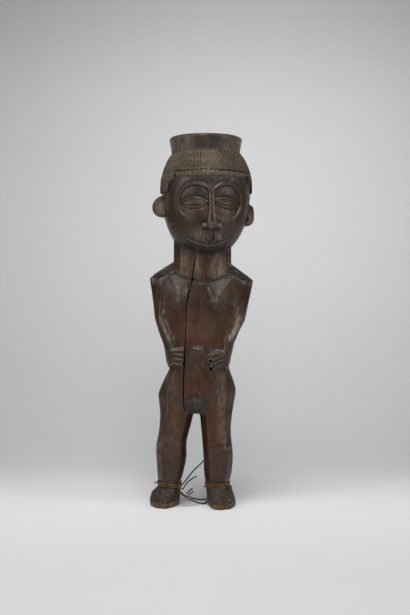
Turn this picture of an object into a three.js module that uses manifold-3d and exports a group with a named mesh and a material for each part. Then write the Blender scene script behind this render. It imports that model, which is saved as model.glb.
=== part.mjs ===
// A drinking cup carved as a standing figure, from one dark hardwood log, with plant twine tied round its ankles.
// The head is hollow: it is the bowl of the cup, and its flaring rim stands up out of the hair.
// Millimetres, +Z up. The figure faces -Y, so its right side is at -X. The soles rest on z = 0.
import * as THREE from "three";
import { LoftGeometry } from "three/addons/geometries/LoftGeometry.js";
import { ConvexGeometry } from "three/addons/geometries/ConvexGeometry.js";
import { mergeVertices } from "three/addons/utils/BufferGeometryUtils.js";
import Module from "manifold-3d";

const wasm = await Module();
wasm.setup();

const degrees = THREE.MathUtils.degToRad;

// Driving dimensions
const HEIGHT = 271; // soles to lip
const HEAD_X = 3.2; // the log leans, so the head stands this far to +X of the feet
const HEAD_TURN = degrees(7.1); // the face looks a little to +X
const CHEST_FRONT = -17.4;
const MIDLINE = -3.4; // x of the breastbone and the navel

const RIM = { lip: 26.8, foot: 25, shift: -0.5, footZ: 258.6, lipRound: 1.1 }; // shift is from the bowl's axis, in x
const BOWL = { throat: 21.3, belly: 25.2, bellyZ: 230, floor: 6, floorZ: 192.5, mouth: 23.2 };

const HEAD = { widestZ: 234, crown: 37.7, chin: 50.6, halfWidth: 32.5, halfDepth: 31.6, jawShift: -0.9 };
const HAIR = { rise: 1.5, lineZ: 243.9, temple: 26.5, shift: 1.2, sideZ: 229.6, napeZ: 206, behindEars: 14 };
const BAND = { rise: 0.9, topZ: 243.2, height: 3.2 };
const EYE = { azimuth: degrees(21.5), z: 220.6, proud: -0.2 };
const LID = { halfLong: 11, halfHigh: 4.2, thick: 2.6, outwards: 1.2, rightTilt: 0.03, leftTilt: 0.12 };
const SOCKET = { radius: 12.4, depth: 2.6 };
const BROW = { radius: 13.6, from: 147, rightTo: -50, leftTo: -72, thickness: 1.7, lift: -0.8 };
const NOSE = { topZ: 227.6, tipZ: 204.6, baseZ: 201.4, front: 5.6, wingX: 4.2 };
const MOUTH = { z: 190.9, middle: degrees(-2), half: degrees(41.5), rise: 5.4 };
const EARS = [
  { side: -1, z: 220.9, reach: 40, halfHigh: 8.7, droop: 1.4, square: 2.2, hollow: 2.4 },
  { side: 1, z: 214.4, reach: 35.4, halfHigh: 8.1, droop: 0, square: 3.4, hollow: 1.6 },
];
const EAR = { thickness: 8, edge: 2.6 };

const CRACK = { width: 1, floorY: -7.5 };
const WORM_HOLE_RADIUS = 0.95;
const ANKLE_Z = 13.4;

const TWINE = { diameter: 1, pitch: 1.08, gap: 0.3 }; // gap is the air left where the twine touches

// Solids

const point = (x, y, z) => new THREE.Vector3(x, y, z);

function placed({ at = [0, 0, 0], turn = [0, 0, 0], scale = [1, 1, 1] }) {
  const rotation = new THREE.Quaternion().setFromEuler(new THREE.Euler(...turn));
  return new THREE.Matrix4().compose(point(...at), rotation, point(...scale));
}

// A three.js geometry as a solid for joining and cutting, placed by a matrix
function solid(geometry, matrix = new THREE.Matrix4()) {
  const bare = new THREE.BufferGeometry().copy(geometry).applyMatrix4(matrix);
  bare.deleteAttribute("normal");
  bare.deleteAttribute("uv");
  const merged = mergeVertices(bare, 1e-4);
  return new wasm.Manifold(
    new wasm.Mesh({
      numProp: 3,
      vertProperties: new Float32Array(merged.attributes.position.array),
      triVerts: new Uint32Array(merged.index.array),
    }),
  );
}

function geometryOf(manifold) {
  const { vertProperties, triVerts } = manifold.getMesh();
  const geometry = new THREE.BufferGeometry();
  geometry.setAttribute("position", new THREE.BufferAttribute(new Float32Array(vertProperties), 3));
  geometry.setIndex(new THREE.BufferAttribute(new Uint32Array(triVerts), 1));
  geometry.computeVertexNormals();
  return geometry;
}

const union = (...solids) => solids.flat().reduce((all, next) => all.add(next));
const cut = (wood, ...tools) => tools.flat().reduce((rest, tool) => rest.subtract(tool), wood);
const hull = (points, matrix) => solid(new ConvexGeometry(points.map((p) => point(...p))), matrix);

// Where facets cross, a joint can trap a speck of air. The carving is the one large shell.
const largestShell = (manifold) => manifold.decompose().reduce((a, b) => (b.volume() > a.volume() ? b : a));

function ellipsoid(at, radii, turn = [0, 0, 0], columns = 14, rows = 8) {
  return solid(new THREE.SphereGeometry(1, columns, rows), placed({ at, turn, scale: radii }));
}

// A level cut through the trunk or a limb, with flat faces as an adze leaves them. The shares, of half the width
// or depth, say where the front face ends at -X and at +X, and where the side faces end. A bowed front has two
// more corners, at the share edge, that stand back by bow.
function facets([z, left, right, front, back], { flat = [0.6, 0.6], side = 0.5, edge = 0, bow = 0 } = {}) {
  const [halfX, halfY] = [(right - left) / 2, (back - front) / 2];
  const bowed = (x) => (bow > 0 ? [[x, -1, bow]] : []);
  const corners = [
    [1, -side],
    [1, side],
    [flat[1], 1],
    [-flat[0], 1],
    [-1, side],
    [-1, -side],
    ...bowed(-edge),
    [-flat[0], -1],
    [flat[1], -1],
    ...bowed(edge),
  ];
  return corners.map(([x, y, setBack = 0]) =>
    point((left + right) / 2 + x * halfX, (front + back) / 2 + y * halfY + setBack, z),
  );
}

// A limb carved through level stations [z, left, right, front, back], from the bottom up
function limb(stations, shares) {
  const rings = stations.map((station) => facets(station, shares));
  return solid(new LoftGeometry(rings, { capStart: true, capEnd: true }));
}

// A flat outline in x and z, driven from y = back forwards by depth
function slab(shape, back, depth, curveSegments = 8) {
  const geometry = new THREE.ExtrudeGeometry(shape, { depth, bevelEnabled: false, curveSegments });
  geometry.rotateX(Math.PI / 2);
  return geometry.translate(0, back, 0);
}

const outline = (points) => new THREE.Shape(points.map(([x, z]) => new THREE.Vector2(x, z)));

// The head: everything on it is placed in its own frame, where azimuth 0 is the middle of the face

const headFrame = new THREE.Matrix4()
  .makeTranslation(HEAD_X, 0, 0)
  .multiply(new THREE.Matrix4().makeRotationZ(HEAD_TURN));
const headSolid = (geometry, matrix = new THREE.Matrix4()) => solid(geometry, headFrame.clone().multiply(matrix));

// The jaw is fuller in depth than in width, so the chin stays forward
function onHead(azimuth, z, rise = 0) {
  const above = z > HEAD.widestZ;
  const t = Math.min(1, Math.abs(z - HEAD.widestZ) / (above ? HEAD.crown : HEAD.chin));
  const share = (power) => (1 - t ** power) ** (1 / power);
  const across = HEAD.halfWidth * share(above ? 2 : 2.3) + rise;
  const deep = HEAD.halfDepth * share(above ? 2 : 3.4) + rise;
  const shift = above ? 0 : HEAD.jawShift * t;
  return point(across * Math.sin(azimuth) + shift, -deep * Math.cos(azimuth), z);
}

// The head, or a shell that stands off it by rise, between two heights
function headLoft(rise, bottomZ, topZ, rows, columns = 36) {
  const { widestZ, chin, crown } = HEAD;
  const slope = (z) => Math.asin(Math.max(-1, (z - widestZ) / (z < widestZ ? chin : crown)));
  const level = (a) => widestZ + Math.sin(a) * (a < 0 ? chin : crown);
  const rings = Array.from({ length: rows + 1 }, (_, row) => {
    const z = level(THREE.MathUtils.lerp(slope(bottomZ), slope(topZ), row / rows));
    return Array.from({ length: columns }, (_, i) => onHead((2 * Math.PI * i) / columns, z, rise));
  });
  return headSolid(new LoftGeometry(rings, { capStart: true, capEnd: true }));
}

// The hairline is straight over the brow and steps down at each temple
function hairline() {
  const { lineZ, temple, shift, sideZ } = HAIR;
  const beyond = 45;
  const half = [
    [temple, lineZ],
    [temple + 1.5, lineZ - 7],
    [temple + 3.8, lineZ - 7.8],
    [temple + 4.8, sideZ],
    [beyond, sideZ],
    [beyond, 150],
  ];
  const both = [...half, ...half.map(([x, z]) => [-x, z]).reverse()];
  return outline(both.map(([x, z]) => [x + shift, z]));
}

function hair() {
  const { rise, lineZ, napeZ, behindEars } = HAIR;
  const nape = new THREE.BoxGeometry(120, 120, 60);
  return cut(
    headLoft(rise, napeZ - 12, lineZ + 17, 8),
    headSolid(slab(hairline(), behindEars, 60)),
    headSolid(nape, placed({ at: [0, 0, napeZ - 30], turn: [0.22, 0, 0] })),
  );
}

// A narrow raised band under the hairline
function browBand() {
  const { rise, topZ, height } = BAND;
  const [left, right] = [HAIR.shift - HAIR.temple + 0.4, HAIR.shift + HAIR.temple - 0.4];
  const strip = outline([
    [left, topZ - height],
    [right, topZ - height],
    [right, topZ],
    [left, topZ],
  ]);
  return headLoft(rise, topZ - height - 2, topZ + 2, 1).intersect(headSolid(slab(strip, 0, 60)));
}

// A round rod laid along the head's surface through a list of [azimuth, z]
function surfaceRod(route, radius, lift, steps) {
  const curve = new THREE.CatmullRomCurve3(route.map(([azimuth, z]) => onHead(azimuth, z, lift)));
  const round = new THREE.Shape();
  round.absarc(0, 0, radius, 0, 2 * Math.PI);
  return headSolid(
    new THREE.ExtrudeGeometry(round, { steps, curveSegments: 3, extrudePath: curve, bevelEnabled: false }),
  );
}

// Eyes: a sunk round socket, a closed lid shaped like an almond, its slit, and the brow that rings the socket
const aroundEye = (side, u, v) => [side * (EYE.azimuth + u / HEAD.halfDepth), EYE.z + v];

function socket(side) {
  const { radius, depth } = SOCKET;
  const columns = 18;
  const profile = [
    [0.6, -depth],
    [0.88, -0.6 * depth],
    [1, 0.1],
    [1, 6],
  ];
  const dish = profile.flatMap(([share, rise]) =>
    Array.from({ length: columns }, (_, i) => {
      const angle = (2 * Math.PI * i) / columns;
      const r = share * radius;
      return onHead(...aroundEye(side, r * Math.cos(angle), r * Math.sin(angle)), rise).toArray();
    }),
  );
  return hull(dish, headFrame);
}

const lidTurn = (side) => [0, side < 0 ? -LID.rightTilt : LID.leftTilt, side * EYE.azimuth];

function lid(side) {
  const { halfLong, halfHigh, thick, outwards } = LID;
  return headSolid(
    new THREE.SphereGeometry(1, 14, 8),
    placed({
      at: onHead(...aroundEye(side, outwards, 0), EYE.proud - thick).toArray(),
      turn: lidTurn(side),
      scale: [halfLong, thick, halfHigh],
    }),
  );
}

function lidSlit(side) {
  const half = LID.halfLong - 2.2;
  const lens = [
    [-half, 0],
    [0, 0.5],
    [half, 0],
    [0, -0.5],
  ];
  const at = onHead(...aroundEye(side, LID.outwards, 0.8), EYE.proud - 1).toArray();
  return hull(
    lens.flatMap(([x, z]) => [
      [x, 3, z],
      [x, -3, z],
    ]),
    headFrame.clone().multiply(placed({ at, turn: lidTurn(side) })),
  );
}

function brow(side) {
  const turns = 12;
  const to = side < 0 ? BROW.rightTo : BROW.leftTo;
  const route = Array.from({ length: turns + 1 }, (_, i) => {
    const angle = degrees(BROW.from + ((to - BROW.from) * i) / turns);
    return aroundEye(side, BROW.radius * Math.cos(angle), BROW.radius * Math.sin(angle));
  });
  return surfaceRod(route, BROW.thickness, BROW.lift, 16);
}

// Nose: a long narrow ridge that widens to the two wings
function nose() {
  const face = -HEAD.halfDepth;
  const { topZ, tipZ, baseZ, front, wingX } = NOSE;
  const half = [
    [1.9, face - 0.8, topZ],
    [2.1, face - front, tipZ],
    [1.9, face - front + 1.4, baseZ],
    [3.4, face + 2, topZ],
    [wingX + 0.8, face + 3, tipZ + 1],
    [wingX + 0.8, face + 3, baseZ],
  ];
  const bridge = new ConvexGeometry(half.flatMap(([x, y, z]) => [point(x, y, z), point(-x, y, z)]));
  const wings = [-1, 1].map((side) =>
    headSolid(
      new THREE.SphereGeometry(1, 10, 6),
      placed({ at: [side * wingX, face - 0.7, baseZ + 1.7], turn: [0, side * 0.4, 0], scale: [2.6, 2.5, 1.5] }),
    ),
  );
  return union(headSolid(bridge), wings);
}

// The mouth is one long curve low on the jaw: a groove above a thin lower lip
function mouthCurve(offset, radius, lift) {
  const steps = 8;
  const route = Array.from({ length: steps + 1 }, (_, i) => {
    const u = (2 * i) / steps - 1;
    return [MOUTH.middle + u * MOUTH.half, MOUTH.z + offset + MOUTH.rise * u * u];
  });
  return surfaceRod(route, radius, lift, 12);
}

// An ear is a thick half disc that faces forwards, with a raised edge round a shallow hollow
function ear({ side, z, reach, halfHigh, droop, square, hollow }) {
  const root = HEAD.halfWidth - 5;
  const steps = 10;
  const half = (inset) => {
    const rounded = (v) => Math.sign(v) * Math.abs(v) ** (2 / square);
    const edge = Array.from({ length: steps + 1 }, (_, i) => {
      const angle = Math.PI * (i / steps - 0.5);
      return [
        side * (root + (reach - root - inset) * rounded(Math.cos(angle))),
        z + (halfHigh - inset) * rounded(Math.sin(angle)) - droop * Math.cos(angle),
      ];
    });
    return outline(edge);
  };
  const front = -EAR.thickness / 2;
  const disc = slab(half(0), -front, EAR.thickness);
  return headSolid(disc).subtract(headSolid(slab(half(EAR.edge), front + hollow, 6)));
}

function head() {
  const skull = headLoft(0, HEAD.widestZ - HEAD.chin + 0.4, 262, 15);
  const both = (feature) => [feature(-1), feature(1)];
  const sunk = cut(union(skull, browBand(), hair()), both(socket));
  const raised = union(sunk, both(brow), both(lid), nose(), mouthCurve(-1.2, 0.9, -0.1), EARS.map(ear));
  return cut(raised, both(lidSlit), mouthCurve(0.5, 0.7, 0.1));
}

// The cup: a flaring rim over the head, and the bowl hollowed down to the chin

function lathed(profile, segments, x) {
  const geometry = new THREE.LatheGeometry(
    profile.map(([radius, z]) => new THREE.Vector2(radius, z)),
    segments,
  );
  return solid(geometry.rotateX(Math.PI / 2), placed({ at: [x, 0, 0] }));
}

function rim() {
  const { lip, foot, shift, footZ, lipRound } = RIM;
  return lathed(
    [
      [0, footZ - 6],
      [foot, footZ - 6],
      [foot, footZ],
      [foot + 0.4, footZ + 3.5],
      [lip, HEIGHT - lipRound],
      [lip - lipRound, HEIGHT],
      [0, HEIGHT],
    ],
    40,
    HEAD_X + shift,
  );
}

function bowl() {
  const { throat, belly, bellyZ, floor, floorZ, mouth } = BOWL;
  return lathed(
    [
      [0, floorZ],
      [floor, floorZ],
      [18.5, floorZ + 9],
      [23.2, floorZ + 20],
      [belly, bellyZ - 6],
      [belly, bellyZ + 4],
      [throat + 2, bellyZ + 17],
      [throat, RIM.footZ - 3],
      [throat + 0.3, RIM.footZ + 4],
      [mouth, HEIGHT - 1.2],
      [mouth + 0.8, HEIGHT + 0.1],
      [mouth + 0.8, HEIGHT + 5],
      [0, HEIGHT + 5],
    ],
    36,
    HEAD_X,
  );
}

// Neck: a straight post with two broad faces in front, which meet in a narrow one
function neck() {
  const [centreX, centreY, bottomZ, height] = [0.6, 1.6, 156, 44];
  const plan = [
    [21, -6],
    [21, 7],
    [15, 15],
    [5, 17.6],
    [-5, 17.6],
    [-15, 15],
    [-21.5, 7],
    [-21.5, -6],
    [-16, -14.2],
    [-2.2, -17.1],
    [2.4, -17.1],
    [17, -14.2],
  ];
  const post = new THREE.ExtrudeGeometry(outline(plan), { depth: height, bevelEnabled: false });
  return solid(post, placed({ at: [centreX, centreY, bottomZ] }));
}

// Trunk, hips to shoulders
const trunk = () =>
  limb(
    [
      [68.6, -30.8, 22.4, -15.5, 17.4],
      [77.5, -31.7, 23.8, -16.2, 19.5],
      [82.2, -32.1, 24.8, -16.6, 19.5],
      [86, -30.8, 24.9, -16.9, 18.6],
      [92.7, -28, 23, -17.2, 16.5],
      [101.5, -23.7, 19.8, -17.6, 13.6],
      [111, -24.4, 20.2, -18.6, 12.8],
      [122, -27, 23, -18.6, 13.4],
      [135, -31, 28.4, CHEST_FRONT, 14.8],
      [147, -33, 31.4, -16.8, 16.2],
      [157, -36.2, 35.2, -17, 17],
      [168, -38.7, 37.7, CHEST_FRONT, 17.4],
      [184, -38.7, 37.7, CHEST_FRONT, 17.4],
    ],
    { flat: [0.4, 0.4], side: 0.42, edge: 0.8, bow: 1.7 },
  );

// Arms: flat-sided and held close. The elbows are back, and the forearms come round on to the belly.
const arms = () => [
  limb(
    [
      [115, -27, -19.6, -18.8, -8],
      [118.6, -27.8, -19.1, -19.2, -4],
      [126, -30.7, -22.6, -18, 2],
      [131.6, -32.6, -25, -16.9, 7],
      [138, -34.6, -27.3, -15.8, 11],
      [147, -35.6, -27.8, -15.2, 12],
      [157, -36.7, -27.8, -14.8, 11.5],
      [168, -38.7, -24, -13, 11],
      [184, -38.7, -24, -13, 11],
    ],
    { flat: [0.3, 0.9], side: 0.55 },
  ),
  limb(
    [
      [115, 15.2, 21.4, -18.8, -8],
      [118.6, 15.3, 22.5, -19.2, -4],
      [124.2, 17.2, 25.4, -18.2, 1],
      [129.3, 20.2, 27.7, -17, 6],
      [136, 24, 31.4, -15.9, 10],
      [147, 26.2, 33.6, -15.2, 12],
      [157, 26.4, 35.8, -14.8, 11.5],
      [166, 24, 37.6, -13, 11],
      [184, 24, 37.6, -13, 11],
    ],
    { flat: [0.9, 0.3], side: 0.55 },
  ),
];

// The shoulders' planes fall from the neck to the tips, and lean forwards and backwards from a low ridge
function shoulderRoof() {
  const top = [
    [-21, 3, 180.2],
    [21.6, 3, 178.3],
    [-38.9, -6, 167.7],
    [-38.9, 8, 168],
    [37.9, -6, 165.7],
    [37.9, 8, 166],
    [-24.3, -18.6, 171.6],
    [23.6, -18.6, 169.8],
    [-23, 18, 171.6],
    [22, 18, 170],
  ];
  const spread = 1.25;
  return hull([...top, ...top.map(([x, y]) => [x * spread, y * spread, 50])]);
}

// The chest stops in a curved edge, and the neck stands behind it
function neckline() {
  const [half, low, high, beyond] = [20.3, 164.2, 178.6, 190];
  const shape = new THREE.Shape();
  shape.moveTo(-half, high);
  shape.quadraticCurveTo(-half * 0.7, low + 0.4, 0, low);
  shape.quadraticCurveTo(half * 0.7, low + 0.4, half, high);
  shape.lineTo(half, beyond);
  shape.lineTo(-half, beyond);
  return solid(slab(shape, 0, 40, 6));
}

// Breasts: low keeled wedges from the shoulder's edge down to a small pointed nipple
function breast(side, [topX, topZ], [tipX, tipZ], innerX) {
  const inside = -8;
  const face = [
    [topX, -17.8, topZ - 0.8],
    [topX + side * 8, -14.8, topZ - 4.6],
    [topX - side * 6.5, -17.6, topZ - 2.6],
    [tipX, -21, tipZ + 0.8],
    [tipX - side * 0.8, -20.8, tipZ - 0.4],
    [innerX, -17.5, topZ - 6.5],
    [tipX - side * 5.5, -18.2, tipZ + 0.4],
    [tipX - side * 4, -17, tipZ - 2],
    [tipX + side * 0.5, -16.4, tipZ - 9],
    [topX + side * 6.4, -14.8, tipZ + 2],
    [tipX + side * 6, -15.4, tipZ - 7],
  ];
  return hull([...face, ...face.map(([x, , z]) => [x, inside, z])]);
}

// Hands: a flat back and four fingers that lie on the belly

function rod(from, to, radius) {
  const [a, b] = [point(...from), point(...to)];
  const turn = new THREE.Quaternion().setFromUnitVectors(point(0, 1, 0), b.clone().sub(a).normalize());
  const capsule = new THREE.CapsuleGeometry(radius, a.distanceTo(b), 2, 7);
  return solid(capsule, new THREE.Matrix4().compose(a.lerp(b, 0.5), turn, point(1, 1, 1)));
}

function hand(back, fingers) {
  const [inside, rootY, tipY, fingerRadius] = [-9, -18.6, -18.4, 1.95];
  const palm = hull([...back, ...back.map(([x, , z]) => [x, inside, z])]);
  return union(
    palm,
    fingers.map(([[rootX, rootZ], [tipX, tipZ]]) => rod([rootX, rootY, rootZ], [tipX, tipY, tipZ], fingerRadius)),
  );
}

const rightHand = () =>
  hand(
    [
      [-28.2, -13.6, 121.5],
      [-24.6, -19, 120],
      [-19.8, -19.2, 118.4],
      [-20.2, -20.3, 115.4],
      [-24, -19.8, 113.5],
      [-21.8, -20.1, 104.6],
      [-23.6, -19, 104.8],
      [-24.2, -13.6, 101.8],
      [-26.2, -13.6, 108],
      [-26.9, -13.6, 113],
    ],
    [
      [[-20.8, 114.8], [-14.4, 114.6]],
      [[-21, 111.6], [-14.2, 110.8]],
      [[-21.4, 108.3], [-14.2, 107.1]],
      [[-21.8, 105.1], [-15, 103.8]],
    ],
  );

const leftHand = () =>
  hand(
    [
      [23.4, -13.6, 120],
      [20.4, -19, 119.4],
      [16, -19.2, 117.4],
      [15.2, -20.3, 114],
      [19.2, -19.8, 112.6],
      [15, -20.1, 103],
      [17, -19, 103],
      [17.8, -13.6, 100.4],
      [20.2, -13.6, 105],
      [21, -13.6, 111],
    ],
    [
      [[15, 113.8], [6.8, 110.9]],
      [[15.2, 110.5], [6.2, 107.2]],
      [[15, 107.1], [6.6, 103.7]],
      [[14.6, 103.8], [8.6, 100.6]],
    ],
  );

// Legs: flat-fronted thighs that end in a low ridge at the knee, then a set-back shin. The twine has worn a
// shallow waist into each ankle.
const RIGHT_LEG = [
  [8, -31.4, -17, -11, 11.2],
  [13.2, -31.7, -16.1, -11.6, 11.4],
  [19, -31.7, -16.1, -11.6, 11.4],
  [19.8, -32.4, -14.9, -12.5, 12.4],
  [23, -32.7, -14.2, -12.8, 12.8],
  [30.7, -33.3, -12.2, -13.8, 14.6],
  [37, -33.6, -11.4, -14.7, 14.8],
  [43, -33.6, -11.6, -15.5, 13.2],
  [46.4, -33.3, -11.6, -16.4, 12.6],
  [53.8, -32, -10, -16.4, 13.4],
  [59.9, -31.3, -8.1, -16.2, 15],
  [67, -30.8, -6.7, -15.8, 17],
  [69.6, -30.6, -4.4, -15.7, 17.4],
  [82, -28.8, -4.4, -14, 17.4],
];
const LEFT_LEG = [
  [8, 4, 19.6, -11, 11.2],
  [13.2, 3.2, 19.6, -11.6, 11.4],
  [18.2, 3.2, 19.6, -11.6, 11.4],
  [19, 2.2, 20.5, -12.5, 12.4],
  [25.7, 1.4, 21.7, -13.6, 13.4],
  [33, 1.1, 22.5, -14.7, 14.8],
  [38.6, 0.9, 22.6, -15.5, 13.2],
  [41.8, 0.7, 22.3, -16.4, 12.6],
  [51.6, 0, 21.3, -16.4, 13.6],
  [59, -0.8, 21.4, -16.2, 15],
  [67, -1.4, 22.1, -15.8, 17],
  [69.6, -4, 22.1, -15.7, 17.4],
  [82, -4.4, 21.4, -14, 17.4],
];
const legs = () => [RIGHT_LEG, LEFT_LEG].map((stations) => limb(stations));

// Feet: blocks with domed tops that slope from the ankle to the toes. Each outline is in plan.
const FEET = [
  {
    toeTopZ: 5.6,
    ankle: [-33, -16, -12.6, 12.4],
    plan: [
      [-17.6, 12.6],
      [-25, 15.2],
      [-33.5, 13],
      [-38.9, 5],
      [-38.4, -4],
      [-33.6, -14.8],
      [-26.4, -18.4],
      [-19.4, -9],
      [-16.4, 2],
    ],
  },
  {
    toeTopZ: 5.2,
    ankle: [2.8, 21.4, -12.6, 12.4],
    plan: [
      [23, 12],
      [14, 14.6],
      [5.2, 12],
      [4, 0.8],
      [5.8, -12],
      [8.4, -21.4],
      [13.8, -22.8],
      [21.2, -18.4],
      [24.9, -6],
    ],
  },
];

function foot({ plan, toeTopZ, ankle }) {
  const instepY = -8;
  const centre = plan.reduce(([x, y], p) => [x + p[0] / plan.length, y + p[1] / plan.length], [0, 0]);
  const ring = (z, inset, toeInset = inset) =>
    plan.map(([x, y]) => {
      const [dx, dy] = [x - centre[0], y - centre[1]];
      const share = 1 - (y < instepY ? toeInset : inset) / Math.hypot(dx, dy);
      return [centre[0] + dx * share, centre[1] + dy * share, z];
    });
  const top = facets([ANKLE_Z, ...ankle]).map((p) => p.toArray());
  const rings = [ring(0, 1.2), ring(1.4, 0.3), ring(3, 0), ring(toeTopZ, 0.3, 0.6), ring(9.6, 1.7, 4.4)];
  return hull([...rings.flat(), ...top]);
}

// The drying crack wanders down the front, from the neck to the groin
function crack() {
  const route = [
    [-4.6, 184.5, 0.3],
    [-6, 174, 0.8],
    [-7.2, 165.2, 1],
    [-10.8, 149, 1.15],
    [-11.6, 135, 1.1],
    [-12, 121, 1.15],
    [-13, 104, 1.05],
    [-13.5, 86, 0.95],
    [-13.4, 77, 0.7],
    [-12.4, 70, 0.25],
  ];
  const edge = (side) => route.map(([x, z, share]) => [x + (side * share * CRACK.width) / 2, z]);
  return solid(slab(outline([...edge(-1), ...edge(1).reverse()]), CRACK.floorY, 40));
}

function wormHoles() {
  const [depth, front] = [12, -26];
  const entries = [
    [5.9, 107.3],
    [6.7, 101.4],
    [-13, 105.4],
  ];
  return entries.map(([x, z]) =>
    solid(
      new THREE.CylinderGeometry(WORM_HOLE_RADIUS, WORM_HOLE_RADIUS, depth, 8),
      placed({ at: [x, front + depth / 2, z] }),
    ),
  );
}

// Buttocks and spine, kept plain
function buttock(x, side) {
  return hull([
    [x, 15, 97],
    [x, 23.4, 83],
    [x - side * 2, 22.6, 77.5],
    [x, 15, 67.5],
    [x - side * 11.5, 16, 82],
    [x + side * 11.5, 16, 84],
    [x, 8, 82],
  ]);
}

function spine() {
  const groove = new THREE.CylinderGeometry(2, 2, 62, 4);
  return solid(groove, placed({ at: [-1.5, 17.2, 132], turn: [Math.PI / 2 - 0.03, 0, 0] }));
}

// The whole carving
function carving() {
  const chest = union(
    union(trunk(), arms()).intersect(shoulderRoof()),
    breast(-1, [-24.3, 171.8], [-16.9, 151.8], -10.8),
    breast(1, [23.6, 169.8], [10, 150.1], 4),
  ).subtract(neckline());
  const navel = ellipsoid([MIDLINE, -18.4, 115.6], [4.8, 1.3, 2.3]);
  const loin = ellipsoid([MIDLINE - 1.2, -14.6, 75], [9.6, 3, 6.6], [0, 0, 0], 16, 8);
  const figure = union(
    chest,
    neck(),
    head(),
    rim(),
    rightHand(),
    leftHand(),
    navel,
    loin,
    buttock(-15.8, -1),
    buttock(9.2, 1),
    legs(),
    FEET.map(foot),
  );
  return largestShell(cut(figure, bowl(), crack(), wormHoles(), spine()));
}

// Twine: wound round each ankle and tied at the inner side of the right one, with its loose ends left long

// The leg's faces at a height between two of its stations
function legSection(stations, z) {
  const above = stations.findIndex((station) => station[0] > z);
  const [low, high] = [stations[above - 1], stations[above]];
  const share = (z - low[0]) / (high[0] - low[0]);
  return facets(low.map((value, i) => THREE.MathUtils.lerp(value, high[i], share)));
}

// The outside of a few turns that lie side by side round an ankle, as one closed ring
function winding(stations, { turns, z, slope }) {
  const { pitch, gap } = TWINE;
  const radius = TWINE.diameter / 2;
  const first = (-(turns - 1) / 2) * pitch;
  const bulge = degrees(50);
  const strands = Array.from({ length: turns }, (_, i) =>
    [-bulge, 0, bulge].map((a) => [gap + radius * (1 + Math.cos(a)), first + i * pitch + radius * Math.sin(a)]),
  );
  const profile = [[gap, first - radius * 0.6], ...strands.flat(), [gap, -first + radius * 0.6]].reverse();
  const corners = legSection(stations, z);
  const middleX = (stations[1][1] + stations[1][2]) / 2;
  const outward = (from, to) => Math.atan2(from.x - to.x, to.y - from.y);
  const sections = corners.flatMap((corner, i) => {
    const before = outward(corners.at(i - 1), corner);
    const turn = THREE.MathUtils.euclideanModulo(
      outward(corner, corners[(i + 1) % corners.length]) - before,
      2 * Math.PI,
    );
    return [0, 1].map((share) => {
      const angle = before + share * turn;
      return profile.map(([out, up]) =>
        point(
          corner.x + out * Math.cos(angle),
          corner.y + out * Math.sin(angle),
          z + slope * (corner.x - middleX) + up,
        ),
      );
    });
  });
  return solid(new LoftGeometry([...sections, sections[0]]));
}

// A strand of twine along a smooth line through its points
function strand(route, diameter = TWINE.diameter) {
  const curve = new THREE.CatmullRomCurve3(route.map((p) => point(...p)));
  const round = new THREE.Shape();
  round.absarc(0, 0, diameter / 2, 0, 2 * Math.PI);
  const steps = Math.max(2, Math.round(curve.getLength() / (2.5 * TWINE.diameter)));
  return solid(
    new THREE.ExtrudeGeometry(round, { steps, curveSegments: 4, extrudePath: curve, bevelEnabled: false }),
  );
}

const twine = () => ({
  winding_right_ankle: winding(RIGHT_LEG, { turns: 3, z: 16.4, slope: -0.1 }),
  winding_left_ankle: winding(LEFT_LEG, { turns: 4, z: 15.95, slope: 0 }),
  knot: ellipsoid([-16.4, -14.2, 15.2], [1.5, 1.4, 2.4], [0, 0, 0], 10, 6),
  tail: strand(
    [
      [-15.8, -14, 12.2],
      [-14.4, -13, 10],
      [-13, -11.6, 8.9],
    ],
    2 * TWINE.diameter,
  ),
  tie: ellipsoid([-11.4, -10.2, 7.6], [1.4, 1.2, 1.3], [0, 0, 0], 10, 6),
  strand_rising: strand([
    [-14.7, -13.7, 16.8],
    [-12, -11.4, 19.6],
    [-8.7, -7.4, 23.4],
    [-5.5, -3, 26.5],
    [-1.8, 3, 28.9],
    [1.1, 9.5, 31.2],
    [3.4, 14, 32.8],
    [6.6, 16, 34.4],
    [9.6, 16, 35.6],
  ]),
  strand_back: strand([
    [-9.7, -9, 7.4],
    [-8.6, -6, 6.6],
    [-5.4, -1, 4.4],
    [-1.1, 4, 3.1],
    [2.3, 8, 2.4],
    [3.8, 12.4, 2.7],
    [5.8, 14.4, 5],
    [7.4, 15, 9],
    [8.6, 14.4, 12.6],
  ]),
  strand_front: strand([
    [-10.4, -9.2, 5.9],
    [-7.9, -7, 4.7],
    [-3.7, -2, 2],
    [0.2, 0.4, 0.9],
    [2.4, 2.2, 0.6],
    [3, 5, 0.6],
    [3.3, 9, 0.6],
    [4.2, 13, 0.6],
    [7, 15.8, 0.7],
    [10.4, 16.8, 2],
    [12.4, 16.8, 5.6],
    [13, 15.8, 9.6],
    [13, 14.6, 12.7],
  ]),
  stub_high: strand([
    [-14.5, -13.9, 13.7],
    [-13.1, -13.5, 15],
    [-11.2, -13, 18],
    [-7.8, -12.2, 20.8],
    [-4, -11.2, 22.8],
  ]),
  stub_middle: strand([
    [-11, -9.9, 9.5],
    [-10.2, -9.7, 11.2],
    [-8.6, -9.4, 12.4],
    [-6.8, -9, 13.6],
  ]),
  stub_low: strand([
    [-9.8, -9.6, 8.8],
    [-8.4, -9.3, 10.1],
    [-6.2, -8.8, 11.2],
  ]),
});

// Assembly

function material(name, color, roughness) {
  return new THREE.MeshStandardMaterial({ name, color, roughness, metalness: 0 });
}

const cup = new THREE.Group();
cup.name = "figure_cup";
const figure = new THREE.Mesh(geometryOf(carving()), material("wood", 0x46352b, 0.5));
figure.name = "carved_cup_figure";
cup.add(figure);
for (const [name, piece] of Object.entries(twine())) {
  const mesh = new THREE.Mesh(geometryOf(piece), material("fibre", 0x5c4632, 0.85));
  mesh.name = `twine_${name}`;
  cup.add(mesh);
}

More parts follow.
